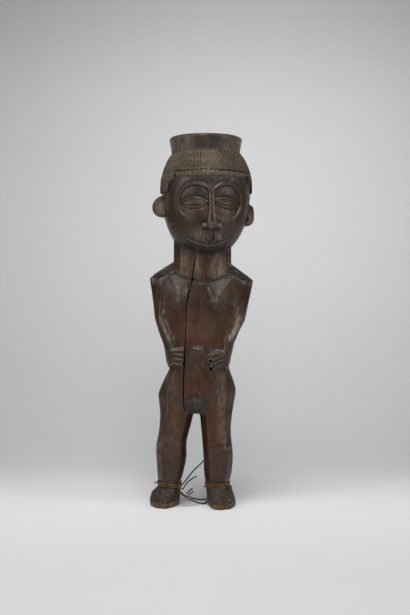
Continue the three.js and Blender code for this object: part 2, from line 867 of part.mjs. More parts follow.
// The origin is at the middle of the figure's box, at the soles.
figure.geometry.computeBoundingBox();
const middle = figure.geometry.boundingBox.getCenter(new THREE.Vector3());
cup.position.set(-middle.x, -middle.y, 0);

export default cup;
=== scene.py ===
# A drinking cup carved as a standing figure: one piece of dark wood with a hollow head, and twine at its
# ankles. The figure faces -Y, so its right side is at -X. Its soles rest on the floor, z = 0.
import math
import bmesh
import bpy
import numpy as np
from mathutils import Matrix, Quaternion, Vector, noise


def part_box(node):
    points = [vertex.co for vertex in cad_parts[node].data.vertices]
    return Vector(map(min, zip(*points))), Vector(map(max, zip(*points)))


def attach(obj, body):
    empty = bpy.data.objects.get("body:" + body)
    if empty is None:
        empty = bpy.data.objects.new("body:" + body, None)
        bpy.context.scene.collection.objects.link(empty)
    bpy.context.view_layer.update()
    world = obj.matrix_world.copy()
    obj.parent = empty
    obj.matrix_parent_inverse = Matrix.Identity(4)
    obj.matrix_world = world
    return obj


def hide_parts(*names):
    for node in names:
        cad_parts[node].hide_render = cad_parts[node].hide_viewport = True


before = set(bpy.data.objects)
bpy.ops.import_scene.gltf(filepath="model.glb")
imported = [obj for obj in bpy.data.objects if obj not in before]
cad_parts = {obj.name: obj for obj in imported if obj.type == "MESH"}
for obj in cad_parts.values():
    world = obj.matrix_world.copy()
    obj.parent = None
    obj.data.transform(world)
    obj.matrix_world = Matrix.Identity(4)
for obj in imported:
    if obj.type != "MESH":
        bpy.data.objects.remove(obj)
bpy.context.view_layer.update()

# The view: a level camera in front of the figure, a little above its middle, with a long lens.
# Places are in millimetres from the drawing's zero, which lies at ZERO in the frame.
MM = 0.001
ZERO = Vector((0.04, 2.0, 0.0))

camera = bpy.data.objects.new("camera", bpy.data.cameras.new("camera"))
camera.data.sensor_width = 36
camera.data.lens = 61.7
camera.data.clip_start = 0.02
camera.location = (ZERO + Vector((2.2, -780, 145.9))) * MM
camera.rotation_euler = (math.radians(90), 0, 0)
bpy.context.scene.collection.objects.link(camera)
bpy.context.scene.camera = camera

# The loose twine: two plies of plant fibre, a millimetre thick, rolled together by hand and stiff with age.
# Three long ends leave the knot at the right ankle and go to the left leg. They are cords of their own.
TWINE = 1.0
PLY_TURN = 3.2  # the length of one turn of the plies
RISING = [
    (-14.7, -13.7, 16.8), (-12, -11.4, 19.6), (-8.7, -7.4, 23.4), (-5.5, -3, 26.5), (-1.8, 3, 28.9),
    (1.1, 9.5, 31.2), (3.4, 14, 32.8), (6.6, 16, 34.4), (9.6, 16, 35.6),
]
BACK = [
    (-9.7, -9, 7.4), (-8.6, -6, 6.6), (-5.4, -1, 4.4), (-1.1, 4, 3.1), (2.3, 8, 2.4),
    (3.8, 12.4, 2.7), (5.8, 14.4, 5), (7.4, 15, 9), (8.6, 14.4, 12.6),
]
FRONT = [
    (-10.4, -9.2, 5.9), (-7.9, -7, 4.7), (-3.7, -2, 2), (0.2, 0.4, 0.9), (2.4, 2.2, 0.6),
    (3, 5, 0.6), (3.3, 9, 0.6), (4.2, 13, 0.6), (7, 15.8, 0.7), (10.4, 16.8, 2),
    (12.4, 16.8, 5.6), (13, 15.8, 9.6), (13, 14.6, 12.7),
]


def smooth_line(stations, step=0.3):
    """Points every step along a smooth curve through the stations."""
    points = [Vector(s) for s in stations]
    points = [2 * points[0] - points[1], *points, 2 * points[-1] - points[-2]]
    line = [points[1]]
    for a, b, c, d in zip(points, points[1:], points[2:], points[3:]):
        count = max(1, round((c - b).length / step))
        for i in range(1, count + 1):
            t = i / count
            bend = (2 * a - 5 * b + 4 * c - d) * t**2 + (3 * b - a - 3 * c + d) * t**3
            line.append(b + 0.5 * ((c - a) * t + bend))
    return line


def add_twine(bm, line, thickness=TWINE):
    """One length of twine: a section of two plies, drawn along the line as it turns."""
    ring = bmesh.ops.create_circle(bm, radius=1, segments=12)["verts"]
    for v in ring:
        v.co *= 0.5 * thickness * (0.9 + 0.16 * math.cos(2 * math.atan2(v.co.y, v.co.x)))
    edges = list(dict.fromkeys(e for v in ring for e in v.link_edges))
    bmesh.ops.contextual_create(bm, geom=edges)
    stance = Matrix()
    heading = (line[1] - line[0]).normalized()
    turn = heading.to_track_quat("Z", "Y")
    gone = 0.0
    for i, place in enumerate(line):
        if i:
            extruded = bmesh.ops.extrude_edge_only(bm, edges=edges)["geom"]
            ring = [g for g in extruded if isinstance(g, bmesh.types.BMVert)]
            edges = [g for g in extruded if isinstance(g, bmesh.types.BMEdge)]
            ahead = (line[min(i + 1, len(line) - 1)] - line[i - 1]).normalized()
            turn = heading.rotation_difference(ahead) @ turn
            heading = ahead
            gone += (place - line[i - 1]).length
        rolled = Quaternion((0, 0, 1), 2 * math.pi * gone / PLY_TURN)
        next_stance = Matrix.Translation(place) @ (turn @ rolled).to_matrix().to_4x4()
        bmesh.ops.transform(bm, matrix=next_stance @ stance.inverted(), verts=ring)
        stance = next_stance
    bmesh.ops.contextual_create(bm, geom=edges)


def finished(name, bm):
    """The mesh as a piece in the frame: from the drawing's millimetres to metres, smooth and facing out."""
    bmesh.ops.recalc_face_normals(bm, faces=bm.faces)
    bmesh.ops.transform(bm, matrix=Matrix.Scale(MM, 4) @ Matrix.Translation(ZERO), verts=bm.verts)
    piece = bpy.data.objects.new(name, bpy.data.meshes.new(name))
    bm.to_mesh(piece.data)
    bm.free()
    piece.data.shade_smooth()
    bpy.context.scene.collection.objects.link(piece)
    return piece


def twine(name, *lines, thickness=TWINE):
    bm = bmesh.new()
    for line in lines:
        add_twine(bm, line, thickness)
    return finished(name, bm)


rising_line, back_line, front_line = (smooth_line(stations) for stations in (RISING, BACK, FRONT))
rising = twine("twine_rising", rising_line)
back = twine("twine_back", back_line)
front = twine("twine_front", front_line)

# The turns of twine round each ankle. The leg there is an eight-sided post, and the twine lies on its faces.
# The box of the turns says how wide the post is, and the turns climb it side by side.
PITCH = 1.08
AIR = 0.3  # left round the post in the drawing
POST = [(1, -0.5), (1, 0.5), (0.6, 1), (-0.6, 1), (-1, 0.5), (-1, -0.5), (-0.6, -1), (0.6, -1)]


def ankle_turns(node, turns, slope, start, loose_ends=()):
    """A line that climbs round the post from the corner numbered start, with its loose ends."""
    low, high = (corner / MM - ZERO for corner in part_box(node))
    middle, half = (low + high) / 2, (high - low) / 2 - Vector((AIR + TWINE, AIR + TWINE, 0))
    corners = [Vector((middle.x + x * half.x, middle.y + y * half.y, 0)) for x, y in POST]
    stations = []
    steps = turns * len(POST)
    for i in range(steps + 1):
        before, corner, after = (corners[(start + i + k) % len(POST)] for k in (-1, 0, 1))
        lift = (i / steps - 0.5) * (turns - 0.3) * PITCH + 0.14 * math.sin(2.3 * i)
        for a, b in ((before, corner), (corner, after)):
            out = Vector((b.y - a.y, a.x - b.x, 0)).normalized()
            place = corner + 0.5 * TWINE * out
            stations.append((place.x, place.y, middle.z + slope * (place.x - middle.x) + lift))
    return [smooth_line(stations, 0.45), *(smooth_line(end, 0.35) for end in loose_ends)]


right_turns = twine(
    "twine_turns_right_ankle",
    *ankle_turns(
        "twine_winding_right_ankle", 3, -0.1, 5,
        [[(-32.2, -5, 18.4), (-33, -6.6, 17.8), (-33.8, -8.2, 17.6), (-34.4, -9, 17.9)]],
    ),
)
left_turns = twine(
    "twine_turns_left_ankle",
    *ankle_turns(
        "twine_winding_left_ankle", 4, 0, 6,
        [
            [(16.8, -12.4, 17.2), (18.6, -12.7, 17), (20.6, -12.2, 16.2), (21.8, -11.6, 14.9)],
            [(3.6, -9, 15.6), (2.4, -10.2, 15.2), (1.4, -11, 14.9)],
        ],
    ),
)

# The knot, the bundle of ends that drops from it, and the tie that holds the bundle above the floor: the same
# twine, wound and pulled tight by hand. Three cut ends stand out from them.
TAIL = [(-15.8, -14, 12.2), (-14.4, -13, 10), (-13, -11.6, 8.9), (-11.4, -10.2, 7.6)]
KNOT_AT, KNOT_HALF = Vector((-16.4, -14.2, 15.2)), Vector((1.25, 1.1, 2.1))
TIE_AT, TIE_HALF, TIE_AXIS = Vector((-11.4, -10.2, 7.6)), Vector((1.1, 1.1, 0.9)), Vector((1.4, 1.3, -1.6))
PULLED_THIN = 0.8  # the twine's thickness where it is pulled tight
STUBS = [
    [(-14.5, -13.9, 13.7), (-13.1, -13.5, 15), (-11.2, -13, 18), (-7.8, -12.2, 20.8), (-4, -11.2, 22.8)],
    [(-11, -9.9, 9.5), (-10.2, -9.7, 11.2), (-8.6, -9.4, 12.4), (-6.8, -9, 13.6)],
    [(-9.8, -9.6, 8.8), (-8.4, -9.3, 10.1), (-6.2, -8.8, 11.2)],
]


def wrapped(centre, half, turns, axis=Vector((0, 0, 1))):
    """A line wound over a small lump, from one end of it to the other."""
    turn = axis.to_track_quat("Z", "Y")
    stations = []
    steps = 14 * turns
    for i in range(steps + 1):
        share = i / steps
        height = 2 * share - 1
        angle = 2 * math.pi * turns * share
        width = math.sqrt(max(0.12, 1 - 0.8 * height**2))
        lean = 0.35 * math.sin(angle)
        around = Vector((
            half.x * width * math.cos(angle),
            half.y * width * math.sin(angle),
            half.z * (height + lean),
        ))
        stations.append(centre + turn @ (around * 0.85))
    return smooth_line(stations, 0.3)


def laid_beside(line, phase, distance=0.5, turn_length=7.0):
    """A line that goes round another, as one strand of a bundle."""
    beside = []
    gone = 0.0
    for a, b in zip(line, line[1:] + [2 * line[-1] - line[-2]]):
        out = (b - a).to_track_quat("Z", "Y")
        angle = phase + 2 * math.pi * gone / turn_length
        beside.append(a + out @ Vector((math.cos(angle), math.sin(angle), 0)) * distance)
        gone += (b - a).length
    return beside


knot_lines = wrapped(KNOT_AT, KNOT_HALF, 4), wrapped(KNOT_AT, KNOT_HALF * 0.6, 3)
knot = twine("twine_knot_at_ankle", *knot_lines, thickness=PULLED_THIN)
bundle = twine("twine_bundle", *(laid_beside(smooth_line(TAIL), 2 * math.pi * k / 3) for k in range(3)))
tie = twine("twine_tie_round_bundle", wrapped(TIE_AT, TIE_HALF, 3, TIE_AXIS), thickness=PULLED_THIN)
stubs = [twine(f"twine_stub_{i + 1}", smooth_line(stations)) for i, stations in enumerate(STUBS)]

for piece, node in (
    (rising, "twine_strand_rising"),
    (back, "twine_strand_back"),
    (front, "twine_strand_front"),
    (right_turns, "twine_winding_right_ankle"),
    (left_turns, "twine_winding_left_ankle"),
    (knot, "twine_knot"),
    (bundle, "twine_tail"),
    (tie, "twine_tie"),
    (stubs[0], "twine_stub_high"),
    (stubs[1], "twine_stub_middle"),
    (stubs[2], "twine_stub_low"),
):
    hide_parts(node)
    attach(piece, "root")


# The twine's finish: dry fibre, tan where it is bound tight, and nearly black where it hangs loose
def linear(hex_colour):
    """A colour as a painter reads it, for a shader."""
    shares = [int(hex_colour[i : i + 2], 16) / 255 for i in (1, 3, 5)]
    return (*(s / 12.92 if s < 0.04045 else ((s + 0.055) / 1.055) ** 2.4 for s in shares), 1.0)


def feed(tree, socket, value):
    """Sets a socket to a number or colour, or links another socket to it."""
    if isinstance(value, bpy.types.NodeSocket):
        tree.links.new(value, socket)
    else:
        socket.default_value = value


def node(tree, kind, inputs, **settings):
    """A node with its settings and inputs. The inputs go by name or by number."""
    made = tree.nodes.new(kind)
    for name, value in settings.items():
        setattr(made, name, value)
    for name, value in inputs.items():
        feed(tree, made.inputs[name], value)
    return made


def speckle(tree, size, detail, stretch=(1, 1, 1)):
    """A noise whose marks are about size millimetres across, stretched along the axes."""
    place = node(tree, "ShaderNodeTexCoord", {}).outputs["Object"]
    scaled = node(tree, "ShaderNodeMapping", {"Vector": place, "Scale": [1 / s for s in stretch]})
    inputs = {"Vector": scaled.outputs[0], "Scale": 1 / (size * MM), "Detail": detail}
    return node(tree, "ShaderNodeTexNoise", inputs).outputs["Fac"]


def ranged(tree, value, low, high, to_low=0.0, to_high=1.0):
    """The value read from low to high, and put out from to_low to to_high."""
    inputs = {"Value": value, "From Min": low, "From Max": high, "To Min": to_low, "To Max": to_high}
    return node(tree, "ShaderNodeMapRange", inputs, interpolation_type="SMOOTHSTEP").outputs["Result"]


def combined(tree, first, second, operation="ADD"):
    return node(tree, "ShaderNodeMath", {0: first, 1: second}, operation=operation).outputs[0]


def mixed(tree, share, below, above):
    """The colour below where share is 0, and above where it is 1."""
    return node(tree, "ShaderNodeMix", {"Factor": share, 6: below, 7: above}, data_type="RGBA").outputs[2]


def bumped(tree, height, distance, strength):
    inputs = {"Height": height, "Distance": distance * MM, "Strength": strength}
    return node(tree, "ShaderNodeBump", inputs).outputs["Normal"]


def new_finish(name):
    material = bpy.data.materials.new(name)
    material.use_nodes = True
    return material, material.node_tree, material.node_tree.nodes["Principled BSDF"]


def fibre(name, dark, light):
    """A finish of fine hairs from dark to light, with darker patches."""
    material, tree, surface = new_finish(name)
    hairs = speckle(tree, 0.25, 4)
    patches = speckle(tree, 3.5, 2)
    colour = mixed(tree, ranged(tree, hairs, 0.35, 0.7), linear(dark), linear(light))
    colour = mixed(tree, ranged(tree, patches, 0.35, 0.75, 0, 0.8), colour, linear(dark))
    feed(tree, surface.inputs["Base Color"], colour)
    surface.inputs["Roughness"].default_value = 0.85
    surface.inputs["Specular IOR Level"].default_value = 0.2
    feed(tree, surface.inputs["Normal"], bumped(tree, hairs, 0.15, 0.7))
    return material


loose_fibre = fibre("loose_fibre", "#130e0b", "#352a1d")
bound_fibre = fibre("bound_fibre", "#3a2a1c", "#86684a")
for piece in (rising, back, front, *stubs):
    piece.data.materials.append(loose_fibre)
for piece in (right_turns, left_turns, knot, bundle, tie):
    piece.data.materials.append(bound_fibre)

# The figure: one log of dark hardwood, carved with an adze and a knife, hollowed through the top of the head,
# then handled for years. It starts as the drawing's solid, in fine even faces and with its flats made round.
GRAIN = 0.5  # the size of the first faces, in millimetres
HEAD_X, HEAD_TURN = 3.2, math.radians(7.1)
WIDEST_Z, CROWN, CHIN = 234, 37.7, 50.6
HALF_WIDTH, HALF_DEPTH, JAW_SHIFT = 32.5, 31.6, -0.9
HAIR_RISE, BAND_RISE = 1.5, 0.9
HAIR_LINE_Z, HAIR_SHIFT, HAIR_TEMPLE, HAIR_SIDE_Z, HAIR_NAPE_Z = 243.9, 1.2, 26.5, 229.6, 206
BOWL = [
    (192.5, 6), (201.5, 18.5), (212.5, 23.2), (224, 25.2), (234, 25.2), (247, 23.3), (255.6, 21.3),
    (262.6, 21.6), (269.8, 23.2), (271, 24),
]
RIM_X, RIM = HEAD_X - 0.5, [(258.6, 25), (262.1, 25.4), (269.9, 26.8)]
CRACK = [
    (-12.4, 70), (-13.4, 77), (-13.5, 86), (-13, 104), (-12, 121), (-11.6, 135), (-10.8, 149),
    (-7.2, 165.2), (-6, 174), (-4.6, 184.5),
]
CUT_HALF, OPENED_HALF = 0.6, 0.85  # the drawing's crack is within the first, and opened to the second
CLOSING = [(0, 0), (0.5, 0.22), (1.15, 0.29), (3, 3), (99, 99)]  # from the crack's middle, before and after
WORM_HOLES = [(5.9, 107.3), (6.7, 101.4), (-13, 105.4)]
COLLAR = [
    (-37.3, 167.4), (-24, 171.6), (-8.1, 165.1), (-0.8, 164), (9.3, 165.1), (22.4, 170.2), (36.6, 165.5),
]
EYE_AZIMUTH, EYE_Z, SOCKET = math.radians(21.5), 220.6, 12.4
LID_OUT, LID_TILT, LID_LONG, LID_HIGH = 1.2, {-1: -0.02, 1: 0.1}, 12, 4.4
EAR_FRONT, EARS = 4, {-1: (220.9, 40, 8.7), 1: (214.4, 35.4, 8.1)}  # each ear's middle, reach and half height
MOUTH_Z, MOUTH_MIDDLE, MOUTH_HALF, MOUTH_RISE = 190.9, math.radians(-2), math.radians(41.5), 5.4


def rise(value, low, high):
    """0 below low, 1 above high, and a soft step between them."""
    t = np.clip((value - low) / (high - low), 0, 1)
    return t * t * (3 - 2 * t)


def within(value, low, high, soft):
    """1 between low and high, and 0 beyond them, with soft edges."""
    return rise(value, low - soft, low + soft) * (1 - rise(value, high - soft, high + soft))


class Carving:
    """The figure's points as arrays, in millimetres, with their places in the head's own measures."""

    def __init__(self, mesh):
        self.mesh = mesh
        self.places = self.read(mesh.vertices, "co")
        self.facing = self.read(mesh.vertex_normals, "vector")
        ends = np.empty(2 * len(mesh.edges), np.int32)
        mesh.edges.foreach_get("vertices", ends)
        one, other = ends.reshape(-1, 2).T
        self.ends, self.others = np.concatenate([one, other]), np.concatenate([other, one])
        self.neighbours = np.maximum(np.bincount(self.ends, minlength=len(self.places)), 1)
        self.measure()

    @staticmethod
    def read(rows, name):
        flat = np.empty(3 * len(rows), np.float32)
        rows.foreach_get(name, flat)
        return flat.reshape(-1, 3).astype(float)

    def measure(self):
        """Where each point lies from the middle of the face, and how proud of the skull it stands."""
        self.x, self.y, self.z = self.places.T
        self.front = self.facing[:, 1] < 0.2
        x = self.x - HEAD_X
        cos, sin = math.cos(HEAD_TURN), math.sin(HEAD_TURN)
        above = self.z > WIDEST_Z
        t = np.clip(np.abs(self.z - WIDEST_Z) / np.where(above, CROWN, CHIN), 0, 0.9995)
        wide = np.where(above, np.sqrt(1 - t**2), (1 - t**2.3) ** (1 / 2.3)) * HALF_WIDTH
        deep = np.where(above, np.sqrt(1 - t**2), (1 - t**3.4) ** (1 / 3.4)) * HALF_DEPTH
        self.across = cos * x + sin * self.y - np.where(above, 0, JAW_SHIFT * t)
        self.behind = -sin * x + cos * self.y
        self.azimuth = np.arctan2(self.across / wide, -self.behind / deep)
        self.proud = (np.hypot(self.across / wide, self.behind / deep) - 1) * (wide + deep) / 2
        self.radius = np.hypot(x, self.y)
        self.bowl = np.interp(self.z, *np.transpose(BOWL))
        self.inside = (self.z > 193) & (self.radius < self.bowl + 1.3)
        self.outside = ~self.inside & (self.z > 184)

    def eye(self, side):
        """How far each point lies outward and up from the middle of one eye."""
        return (side * self.azimuth - EYE_AZIMUTH) * HALF_DEPTH, self.z - EYE_Z

    def lids(self, side):
        """How far each point lies along one eye's closed lids and up from them, and how high the lids are."""
        u, v = self.eye(side)
        along = u - LID_OUT
        high = LID_HIGH * np.clip(1 - (along / LID_LONG) ** 2, 0, None) ** 0.8
        return along, v + LID_TILT[side] * along, high

    def bell(self):
        """The half width of the nose: narrow between the eyes, and open like a bell over its wings."""
        return 2.1 + 4.2 * (1 - rise(self.z, 203.5, 214)) ** 1.6

    def above_mouth(self):
        turned = np.clip((self.azimuth - MOUTH_MIDDLE) / MOUTH_HALF, -1, 1)
        return self.z - MOUTH_Z - MOUTH_RISE * turned**2

    def mean_around(self, values):
        """For each point, the mean of the values at the points that an edge joins to it."""
        return np.bincount(self.ends, values[self.others], len(values)) / self.neighbours

    def wear_down(self, rounds, share, in_hollows=1.0):
        """Draws each point toward the middle of its neighbours, by only in_hollows of that in a hollow."""
        for _ in range(rounds):
            shift = np.stack([self.mean_around(column) - column for column in self.places.T], axis=1)
            hollow = (shift * self.facing).sum(axis=1) > 0
            self.places += shift * (0.5 * share * np.where(hollow, in_hollows, 1))[:, None]
        self.carve(0 * self.z)

    def carve(self, depth):
        """Moves each point out along its own facing, or in where depth is less than 0."""
        self.places = self.places + self.facing * depth[:, None]
        self.mesh.vertices.foreach_set("co", self.places.astype(np.float32).ravel())
        self.mesh.update()
        self.facing = self.read(self.mesh.vertex_normals, "vector")
        self.measure()

    def spot(self, x, z, half_x, half_z, soft=0.4):
        """1 at a place on the figure's front, fading to 0 past an oval round it."""
        distance = np.hypot((self.x - x) / half_x, (self.z - z) / half_z)
        return (1 - rise(distance, 1 - soft, 1 + soft)) * self.front

    def away(self, route):
        """How far each point lies from a line through places in front view."""
        nearest = np.full(len(self.z), 1e3)
        for (x0, z0), (x1, z1) in zip(route, route[1:]):
            dx, dz = x1 - x0, z1 - z0
            share = np.clip(((self.x - x0) * dx + (self.z - z0) * dz) / (dx * dx + dz * dz), 0, 1)
            nearest = np.minimum(nearest, np.hypot(self.x - x0 - share * dx, self.z - z0 - share * dz))
        return nearest

    def streak(self, half_width, *route):
        """1 along a line through places in front view, fading to 0 beside it."""
        return (1 - rise(self.away(route), 0.5 * half_width, 1.5 * half_width)) * self.front


def settle(piece):
    """Makes a piece's modifiers into its mesh."""
    graph = bpy.context.evaluated_depsgraph_get()
    mesh = bpy.data.meshes.new_from_object(piece.evaluated_get(graph))
    piece.modifiers.clear()
    piece.data = mesh


def from_crack(x, z):
    """How far a place in front view lies from the crack's middle, and less than 0 toward -X."""
    return x - np.interp(z, *np.transpose(CRACK)[::-1])


block = bpy.data.objects.new("roughed_out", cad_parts["carved_cup_figure"].data.copy())
bpy.context.scene.collection.objects.link(block)
bm = bmesh.new()
bm.from_mesh(block.data)
bmesh.ops.remove_doubles(bm, verts=bm.verts, dist=1e-6)
bmesh.ops.transform(bm, matrix=Matrix.Translation(-ZERO) @ Matrix.Scale(1 / MM, 4), verts=bm.verts)
# The crack is opened for the even faces, which would bridge it, and closed again after them.
for vert in bm.verts:
    gap = from_crack(vert.co.x, vert.co.z)
    if 0.05 < abs(gap) < CUT_HALF and vert.co.y < -7 and 69 < vert.co.z < 186:
        vert.co.x += math.copysign(OPENED_HALF, gap) - gap
bm.to_mesh(block.data)
bm.free()
remesh = block.modifiers.new("even faces", "REMESH")
remesh.mode = "VOXEL"
remesh.voxel_size = GRAIN
settle(block)

# The flats that the drawing leaves on the skull, the hair, the rim and the bowl are taken out.
FLAT = 0.3  # no flat lies deeper than this under the round surface
wood = Carving(block.data)
out = np.zeros(len(wood.x))
for level in (0, HAIR_RISE, BAND_RISE):
    here = wood.outside & (wood.z < 258) & (np.abs(wood.proud - level) < FLAT)
    if level == BAND_RISE:
        here &= (wood.z > HAIR_LINE_Z - 4.5) & (wood.z < HAIR_LINE_Z) & (wood.behind < 0)
    out[here] = (level - wood.proud)[here]
here = wood.inside & (np.abs(wood.bowl - wood.radius) < FLAT)
out[here] = (wood.bowl - wood.radius)[here]
from_axis = np.hypot(wood.x - RIM_X, wood.y)
rim_radius = np.interp(wood.z, *np.transpose(RIM))
here = ~wood.inside & (wood.z > 259.5) & (wood.z < 270) & (np.abs(rim_radius - from_axis) < FLAT)
out[here] = (rim_radius - from_axis)[here]

# The sockets' floors rise to the cheeks, and the closed lids lie in them like leaves. The brows are lowered
# to flat rings.
for side in (-1, 1):
    u, v = wood.eye(side)
    along, above, high = wood.lids(side)
    floor = -0.2 - 0.95 * rise(v, -12.5, 5)
    lid = np.clip(1 - (above / np.maximum(high, 0.1)) ** 2, 0, None) ** 0.7
    skin = floor + (-0.3 - 0.006 * along**2 - floor) * lid
    here = 1 - rise(np.hypot(u, v), SOCKET - 0.3, SOCKET + 0.4)
    here *= rise(np.abs(wood.across), wood.bell(), wood.bell() + 0.9) * wood.outside * (wood.behind < 0)
    out += here * (skin - wood.proud - out)
    brow = (np.hypot(u, v) > SOCKET + 0.4) & (np.hypot(u, v) < 17.5) & (wood.behind < -6) & wood.outside
    brow &= (wood.proud < 4) & (here < 0.01) & (side * wood.across > 5)
    flatter = np.minimum(wood.proud, 0.55 + 0.3 * wood.proud) * rise(v, -11.5, -9) - wood.proud
    flatter *= rise(side * wood.across, 5, 8)
    out[brow] = flatter[brow]

# The mouth is shallow, the ears are flat discs, and the crack is a narrow slot but for the worm hole in it.
here = wood.outside & (wood.behind < -10) & (np.abs(wood.above_mouth()) < 3.2)
out[here] = np.clip(wood.proud, -0.3, 0.35)[here] - wood.proud[here]
aside = np.abs(wood.across)
ear_hollows = wood.outside & (wood.behind > 0.2 - EAR_FRONT) & (wood.behind < -1) & (aside > 30.5)
forward = np.zeros(len(out))
for ear, (ear_z, reach, half_high) in EARS.items():
    at_ear = ear_hollows & (ear * wood.across > 0) & (aside < reach - 2.4)
    at_ear &= np.abs(wood.z - ear_z) < half_high - 1.8
    forward[at_ear] = (wood.behind + EAR_FRONT - 0.2)[at_ear]
wood.places += forward[:, None] * [math.sin(HEAD_TURN), -math.cos(HEAD_TURN), 0]
gap = from_crack(wood.x, wood.z)
closed = np.sign(gap) * np.interp(np.abs(gap), *np.transpose(CLOSING)) - gap
closed *= (wood.y < -6) * within(wood.z, 68, 186, 1) * (1 - wood.spot(*WORM_HOLES[2], 1.3, 1.3))
wood.places[:, 0] += closed
radial = np.stack([wood.x - HEAD_X, wood.y, np.zeros(len(out))], axis=1) / np.maximum(wood.radius, 1)[:, None]
wood.places += radial * out[:, None]

# Wear: hands and time have rounded every outer edge, though less on the head, the hands and the soles, and
# hardly at all at the crack and the worm holes. The feet are rounder still, under their crust of earth.
WEAR_ROUNDS, FEET_ROUNDS = 20, 10
wear = 1 - 0.75 * rise(wood.z, 182, 186)
wear *= 1 - 0.45 * within(wood.z, 99, 121, 1.5) * (wood.y < -12) * within(wood.x, -28, 22, 2)
wear *= 1 - 0.9 * (wood.away(CRACK) < 1.8) * (wood.y < -5)
wear *= 1 - 0.8 * (1 - rise(wood.z, 2.5, 4.5))
for x, z in WORM_HOLES:
    wear *= 1 - 0.85 * wood.spot(x, z, 1.8, 1.8)
wood.wear_down(WEAR_ROUNDS, wear, 0.3)
crusted = (1 - rise(wood.z, 13, 16)) * rise(wood.z, 3, 4.6)
wood.wear_down(FEET_ROUNDS, crusted)


# The adze and the grain: no face of the figure is quite flat. The marks are low, and longer along the log.
def rough(size, height):
    """A smooth noise at every point, with its marks size wide and height high."""
    return np.array([noise.noise((x / size, y / size, z / height)) for x, y, z in wood.places])


smoother = wood.inside | wood.outside & (wood.behind < -8)
marks = np.where(smoother, 0.07, 0.3) * rough(7, 17) + 0.04 * rough(1.7, 5)
marks += 0.07 * within(wood.z, 12, 50, 6) * rough(4, 0.9) + 0.16 * crusted * rough(1.5, 1.2)
wood.carve(marks * rise(wood.z, 0.4, 2.5))

# Finer faces wherever the knife has worked
bm = bmesh.new()
bm.from_mesh(block.data)
fine = wood.outside & (wood.z < 261) & ((wood.z > 205) | (wood.behind < -10))
fine |= wood.front & ((wood.away(CRACK) < 1.6) | (wood.away(COLLAR) < 1.6) | (wood.z < 12))
fine |= wood.front & (wood.z > 99) & (wood.z < 119) & (wood.x > 1) & (wood.x < 20)
knife_edges = [e for e in bm.edges if fine[e.verts[0].index] and fine[e.verts[1].index]]
bmesh.ops.subdivide_edges(bm, edges=knife_edges, cuts=1, use_grid_fill=True)
bm.to_mesh(block.data)
bm.free()
cup = Carving(block.data)

# Knife work on the head: the hair's hatching, and the fine lines round the brows, eyes, nose and mouth
BEHIND_EARS = 14
ROWS_START, ROW_HIGH = 10.6, 8  # the rows of the hatching, up from the skull's widest place


def groove(distance, half_width, depth):
    """How deep a knife line is cut, by the distance from its middle."""
    return -depth * np.clip(1 - (distance / half_width) ** 2, 0, None)


def parallel(along, pitch, half_width, depth):
    """Lines at an even pitch, by the distance along the way that crosses them."""
    return groove((np.mod(along / pitch, 1) - 0.5) * pitch, half_width, depth)


def hair_share(head):
    """1 on the hair and 0 below the hairline, with its step at each temple."""
    side = np.abs(head.across - HAIR_SHIFT)
    line = np.where(side < HAIR_TEMPLE, HAIR_LINE_Z, HAIR_SIDE_Z)
    line = np.where((side >= HAIR_TEMPLE) & (side < HAIR_TEMPLE + 3.8), HAIR_LINE_Z - 7.4, line)
    line = np.where(head.behind > BEHIND_EARS, HAIR_NAPE_Z + 0.7 + 0.224 * head.behind, line)
    return rise(head.z, line - 0.3, line + 0.3) * (head.z < 259.5) * head.outside * (head.proud < 4)


def hatching(head):
    """Two rows of upright strokes over the right brow, slanted ones over the left, crossed ones behind."""
    around = head.azimuth * HALF_WIDTH
    up = CROWN * np.arcsin(np.clip((head.z - WIDEST_Z) / CROWN, -1, 1))
    wander = 0.7 * np.sin(around / 2.3 + 1) + 0.5 * np.sin(up / 1.9 + around / 3.7)
    wander += 0.4 * np.sin(around * 1.31)
    pressed = 1 + 0.2 * np.sin(around * 1.9 + up * 0.7) * np.sin(up * 0.9 - around * 0.4)
    row = np.floor((up - ROWS_START + 0.5 * wander) / ROW_HIGH)
    in_row = up - ROWS_START + 0.5 * wander - ROW_HIGH * row
    lean = np.where(row > 0, 0.22, -0.16) + 0.08 * np.sin(around / 3.1)
    pitch = np.where(row > 0, 2, 1.7)
    upright = parallel(around + lean * in_row + 0.9 * row + 0.25 * wander, pitch, 0.55, 0.6)
    upright *= within(in_row, 1, 7.2, 0.8)

    def turned(angle):
        a = math.radians(angle)
        return around * math.sin(a) - up * math.cos(a) + 0.25 * wander

    slanted = parallel(turned(42), 1.5, 0.5, 0.5)
    crossed = np.minimum(slanted, parallel(turned(138), 1.7, 0.4, 0.35))
    side = np.minimum(parallel(turned(100), 1.6, 0.5, 0.42), parallel(turned(40), 2.6, 0.35, 0.2))
    zone = around + 1.3 * np.sin(up / 1.9) + 0.6 * np.sin(up / 0.8)
    zones = (
        (within(zone, -24, -7, 2.2), upright * (1 - 0.3 * rise(around, -13, -8))),  # over the right brow
        (within(zone, -7, 8.5, 2.2), 0.28 * upright + 0.2 * slanted),  # fainter in the middle
        (within(zone, 8.5, 34, 2.2), np.where(up > 21, crossed, slanted)),  # over the left brow
        (rise(zone, 31.8, 36.2), crossed),  # the left side, and behind
        (within(zone, -46, -24, 2.2), side),  # the right temple
        (1 - rise(zone, -48.2, -43.8), crossed),  # the right side, and behind
    )
    return pressed * sum(share * lines for share, lines in zones)


